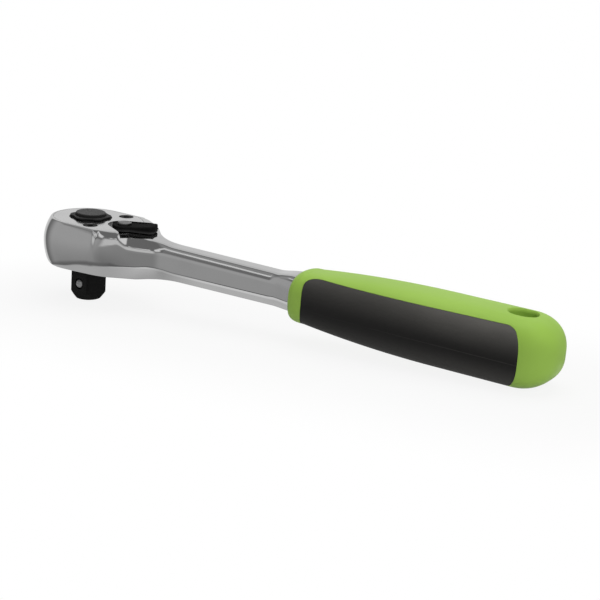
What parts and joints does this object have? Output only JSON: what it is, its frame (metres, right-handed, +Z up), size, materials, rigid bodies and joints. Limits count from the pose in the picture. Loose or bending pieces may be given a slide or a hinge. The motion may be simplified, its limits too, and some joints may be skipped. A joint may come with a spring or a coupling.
{
  "type": "pear-head ratchet wrench",
  "caption": "Reversible pear-head ratchet wrench with a push-button square drive, a flip lever on the neck and a moulded handle with soft inlays and a hanging hole.",
  "frame": {"origin": "centre of the end face of the square drive", "axes": "+Z up the drive axis to the release button, +X along the handle, the side seen in the picture towards -Y"},
  "size_m": [0.2734, 0.045, 0.0439],
  "materials": {
    "polished_chrome": "polished chrome plate",
    "satin_chrome": "fine satin chrome plate",
    "black_steel": "black oxide on steel",
    "dark_button": "dark satin steel",
    "bright_steel": "plain ground steel",
    "black_lever": "satin black",
    "green_plastic": "satin moulded plastic",
    "soft_black": "soft satin rubber"
  },
  "bodies": {
    "body": {"body_forging": "polished_chrome", "cover_plate": "satin_chrome", "cover_screw_near": "black_steel", "cover_screw_far": "black_steel", "handle_shell": "green_plastic", "grip_inlay_near": "soft_black", "grip_inlay_far": "soft_black", "pawl_pin": "bright_steel"},
    "drive": {"drive_gear": "black_steel", "hub_collar": "black_steel", "thrust_washer": "bright_steel", "release_spring": "bright_steel"},
    "release": {"release_button": "dark_button", "release_pin": "bright_steel"},
    "ball": {"detent_ball": "bright_steel"},
    "lever": {"reverse_lever": "black_lever", "lever_screw": "bright_steel", "lever_spindle": "bright_steel", "pawl_plunger": "bright_steel", "pawl_spring": "bright_steel"},
    "rocker": {"pawl": "black_steel"}
  },
  "joints": [
    {"name": "drive_spin", "type": "hinge", "parent": "body", "child": "drive", "pos_m": [0, 0, 0.03], "axis": [0, 0, 1], "continuous": true},
    {"name": "release_press", "type": "slide", "parent": "drive", "child": "release", "axis": [0, 0, -1], "range_m": [0, 0.0022], "stiffness_N_per_m": 500, "springref_m": -0.001, "deforming": ["release_spring"]},
    {"name": "ball_slide", "type": "slide", "parent": "drive", "child": "ball", "axis": [0.1392, 0.9903, 0], "range_m": [0, 0.00095]},
    {"name": "lever_flip", "type": "hinge", "parent": "body", "child": "lever", "pos_m": [0.0213, 0, 0.0384], "axis": [0, 0, 1], "range_deg": [-44, 0]},
    {"name": "pawl_rock", "type": "hinge", "parent": "body", "child": "rocker", "pos_m": [0.01615, 0, 0.028], "axis": [0, 0, 1], "range_deg": [-1, 12]}
  ],
  "couplings": [
    {"joint": "ball_slide", "follows": "release_press", "ratio": 0.4318},
    {"joint": "pawl_rock", "follows": "lever_flip", "ratio": -0.22727}
  ]
}
